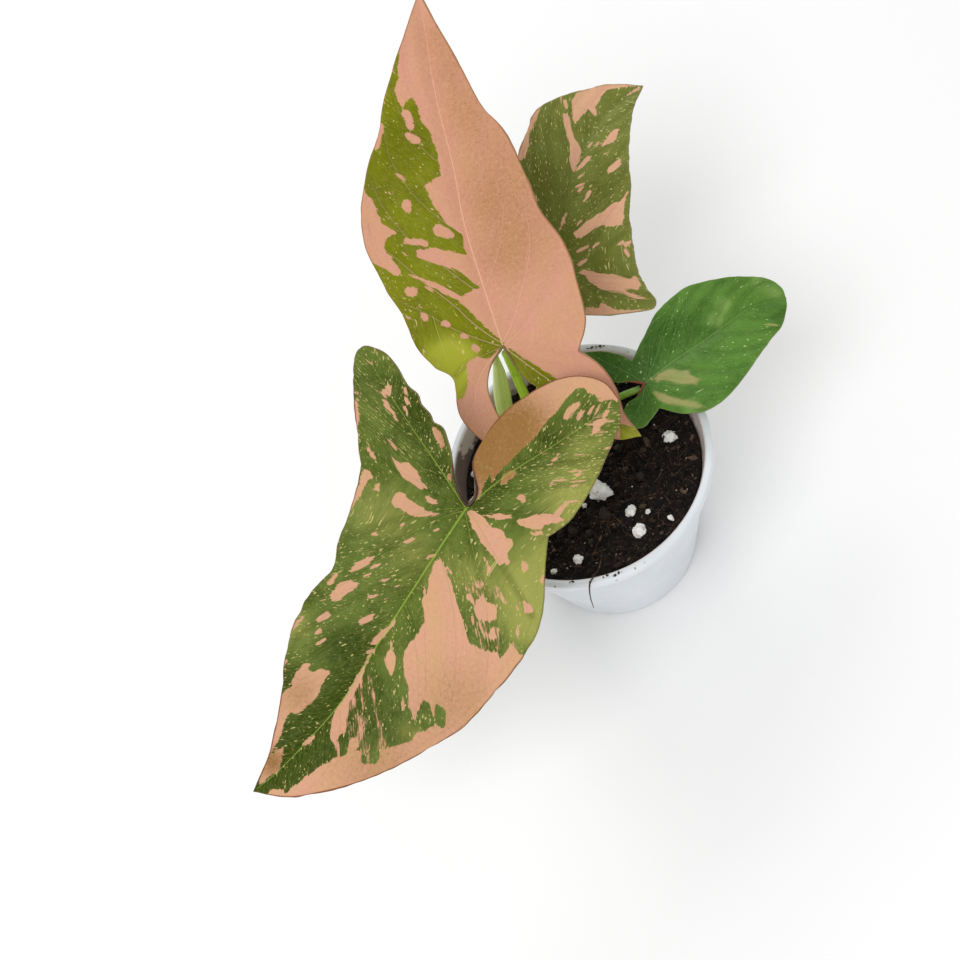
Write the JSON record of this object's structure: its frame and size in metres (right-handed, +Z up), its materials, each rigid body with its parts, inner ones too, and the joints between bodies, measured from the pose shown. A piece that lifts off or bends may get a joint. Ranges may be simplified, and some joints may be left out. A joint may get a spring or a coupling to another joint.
{
  "type": "arrowhead plant in a small white pot",
  "caption": "Young arrowhead plant with green and pink mottled leaves on slender stalks, in a small white plastic pot filled with dark soil and white perlite.",
  "frame": {"origin": "middle of the pot's flat underside, on the surface that the pot stands on", "axes": "+Z up along the pot's axis; -Y is the front, where the soil shows most; the front leaf reaches towards -X"},
  "size_m": [0.178, 0.1393, 0.1319],
  "materials": {
    "pot": "satin white plastic",
    "soil": "loose dark potting mix with white perlite",
    "leaf": "soft satin leaf, green mottled with pink",
    "stalk": "smooth green leaf stalk"
  },
  "bodies": {
    "root": {"pot": "pot", "soil": "soil", "pink_leaf_blade": "leaf", "front_leaf_blade": "leaf", "back_leaf_blade": "leaf", "small_leaf_blade": "leaf", "pink_leaf_petiole": "stalk", "front_leaf_petiole": "stalk", "back_leaf_petiole": "stalk", "small_leaf_petiole": "stalk", "rolled_new_leaf": "stalk"}
  },
  "joints": []
}
